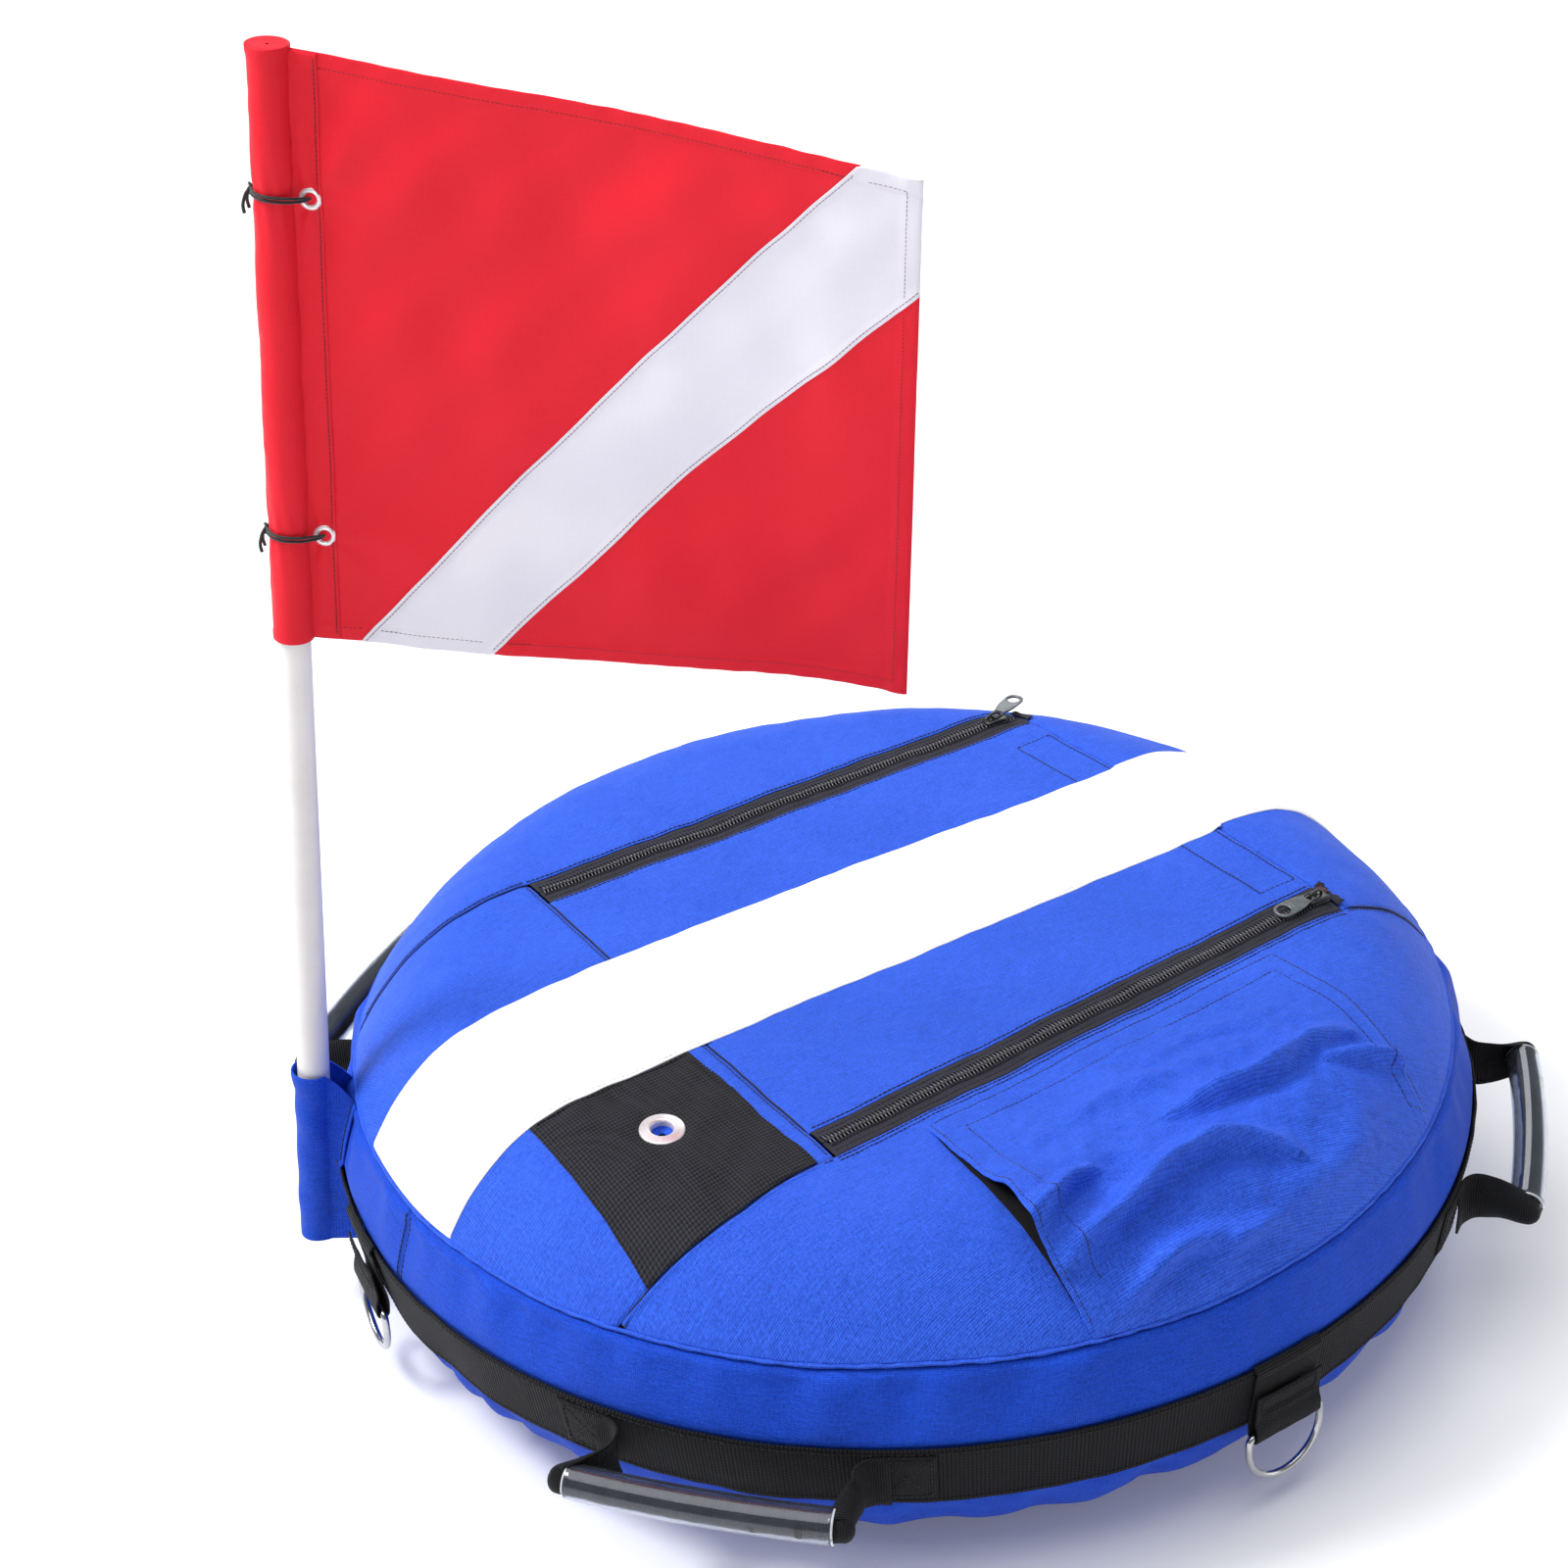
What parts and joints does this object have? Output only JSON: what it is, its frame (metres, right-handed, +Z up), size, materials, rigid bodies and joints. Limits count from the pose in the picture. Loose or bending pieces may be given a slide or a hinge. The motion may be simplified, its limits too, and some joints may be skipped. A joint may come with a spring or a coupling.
{
  "type": "freediving buoy",
  "caption": "Inflatable ring buoy in a sewn fabric cover: zipped lid, side pocket, carrying handles, rigging rings and a flag on a pole in a sleeve.",
  "frame": {"origin": "centre of the underside, on the ring's axis", "axes": "+Z up along the axis of the ring; +X along the white stripe from the lid's fold to its free end; +Y towards the left zip"},
  "size_m": [0.8028, 0.8154, 0.9119],
  "materials": {
    "blue_cloth": "royal blue woven polyester, coated on the inside",
    "white_cloth": "white woven cloth",
    "black_webbing": "black polypropylene webbing with a fine rib",
    "black_lining": "black coated lining cloth",
    "zip_coil": "black nylon coil on woven tape",
    "zip_metal": "gunmetal plated casting",
    "steel": "polished stainless wire",
    "nickel": "nickel plated pressing",
    "clear_hose": "clear soft PVC hose",
    "black_rubber": "matt rubber",
    "white_pipe": "off-white plastic pipe",
    "red_cloth": "bright red woven nylon",
    "black_cord": "black braided cord",
    "hook_tape": "dark hook and loop tape"
  },
  "bodies": {
    "cover": {"top_panel_left": "blue_cloth", "top_panel_right": "blue_cloth", "top_panel_near": "blue_cloth", "top_panel_far": "blue_cloth", "stripe_near": "white_cloth", "stripe_far": "white_cloth", "grommet_panel": "black_webbing", "rope_grommet": "nickel", "side_wall": "blue_cloth", "bottom_panel": "blue_cloth", "perimeter_band": "black_webbing", "side_pocket": "blue_cloth", "pocket_lining": "black_lining", "zip_left_cover_half": "zip_coil", "zip_right_cover_half": "zip_coil", "lid_landing": "blue_cloth", "hook_strip": "hook_tape", "inner_tube": "black_rubber", "valve_stem": "black_rubber", "ring_tab_front": "black_webbing", "ring_tab_left": "black_webbing", "ring_tab_right": "black_webbing", "ring_tab_back": "black_webbing", "flag_sleeve": "blue_cloth"},
    "lid": {"lid_flap": "blue_cloth", "stripe_lid": "white_cloth", "zip_left_lid_half": "zip_coil", "zip_right_lid_half": "zip_coil", "loop_strip": "hook_tape"},
    "slider_left": {"zip_slider_left": "zip_metal"},
    "slider_right": {"zip_slider_right": "zip_metal"},
    "pull_left": {"zip_pull_left": "zip_metal"},
    "pull_right": {"zip_pull_right": "zip_metal"},
    "valve_cap": {"valve_cap": "zip_coil"},
    "pole": {"flag_pole": "white_pipe", "pole_foot_plug": "white_pipe"},
    "flag": {"flag_hoist_hem": "red_cloth", "flag_panel_upper": "red_cloth", "flag_stripe": "white_cloth", "flag_panel_lower": "red_cloth", "flag_eyelet_lower": "nickel", "flag_eyelet_upper": "nickel", "flag_tie_lower": "black_cord", "flag_tie_upper": "black_cord"},
    "handle_front_left": {"handle_strap_front_left": "black_webbing", "handle_grip_front_left": "clear_hose"},
    "handle_front_right": {"handle_strap_front_right": "black_webbing", "handle_grip_front_right": "clear_hose"},
    "handle_back_right": {"handle_strap_back_right": "black_webbing", "handle_grip_back_right": "clear_hose"},
    "handle_back_left": {"handle_strap_back_left": "black_webbing", "handle_grip_back_left": "clear_hose"},
    "ring_front": {"d_ring_front": "steel"},
    "ring_left": {"d_ring_left": "steel"},
    "ring_right": {"d_ring_right": "steel"},
    "ring_back": {"d_ring_back": "steel"}
  },
  "joints": [
    {"name": "lid_hinge", "type": "hinge", "parent": "cover", "child": "lid", "pos_m": [-0.175, 0, 0.239], "axis": [0, -1, 0], "range_deg": [0, 48]},
    {"name": "slider_left_slide", "type": "slide", "parent": "lid", "child": "slider_left", "axis": [-1, 0, 0], "range_m": [0, 0.355]},
    {"name": "slider_right_slide", "type": "slide", "parent": "lid", "child": "slider_right", "axis": [-0.9973, -0.0728, 0], "range_m": [0, 0.355]},
    {"name": "pull_left_pivot", "type": "hinge", "parent": "slider_left", "child": "pull_left", "pos_m": [0.2205, 0.1935, 0.24375], "axis": [0.4067, -0.9135, 0], "range_deg": [0, 165]},
    {"name": "pull_right_pivot", "type": "hinge", "parent": "slider_right", "child": "pull_right", "pos_m": [0.252, -0.1456, 0.24375], "axis": [-0.0728, 0.9973, 0], "range_deg": [0, 165]},
    {"name": "handle_front_left_lift", "type": "hinge", "parent": "cover", "child": "handle_front_left", "pos_m": [-0.29646, -0.2577, 0.096], "axis": [-0.6561, 0.7547, 0], "range_deg": [0, 60]},
    {"name": "handle_front_right_lift", "type": "hinge", "parent": "cover", "child": "handle_front_right", "pos_m": [0.29283, -0.26182, 0.096], "axis": [-0.6665, -0.7455, 0], "range_deg": [0, 60]},
    {"name": "handle_back_right_lift", "type": "hinge", "parent": "cover", "child": "handle_back_right", "pos_m": [0.29191, 0.26284, 0.096], "axis": [0.6691, -0.7431, 0], "range_deg": [0, 60]},
    {"name": "handle_back_left_lift", "type": "hinge", "parent": "cover", "child": "handle_back_left", "pos_m": [-0.2281, 0.31979, 0.096], "axis": [0.8141, 0.5807, 0], "range_deg": [0, 60]},
    {"name": "ring_front_swing", "type": "hinge", "parent": "cover", "child": "ring_front", "pos_m": [0.02221, -0.39718, 0.0655], "axis": [-0.9984, -0.0558, 0], "range_deg": [-20, 150]},
    {"name": "ring_left_swing", "type": "hinge", "parent": "cover", "child": "ring_left", "pos_m": [-0.39176, 0.06908, 0.0655], "axis": [0.1736, 0.9848, 0], "range_deg": [-20, 150]},
    {"name": "ring_right_swing", "type": "hinge", "parent": "cover", "child": "ring_right", "pos_m": [0.3978, 0, 0.0655], "axis": [0, -1, 0], "range_deg": [-20, 150]},
    {"name": "ring_back_swing", "type": "hinge", "parent": "cover", "child": "ring_back", "pos_m": [0.04158, 0.39562, 0.0655], "axis": [0.9945, -0.1045, 0], "range_deg": [-20, 150]},
    {"name": "pole_lift", "type": "slide", "parent": "cover", "child": "pole", "axis": [0.0799, -0.0348, 0.9962], "range_m": [0, 0.16]},
    {"name": "flag_swing", "type": "hinge", "parent": "pole", "child": "flag", "pos_m": [-0.34685, 0.15082, 0.52321], "axis": [0.0799, -0.0348, 0.9962], "range_deg": [-180, 0]},
    {"name": "valve_cap_turn", "type": "hinge", "parent": "cover", "child": "valve_cap", "pos_m": [0.15437, 0.01351, 0.1195], "axis": [-0.9962, -0.0872, 0], "continuous": true}
  ],
  "couplings": [
    {"joint": "slider_left_slide", "follows": "lid_hinge", "m_per_rad": 0.42371},
    {"joint": "slider_right_slide", "follows": "lid_hinge", "m_per_rad": 0.42371}
  ]
}
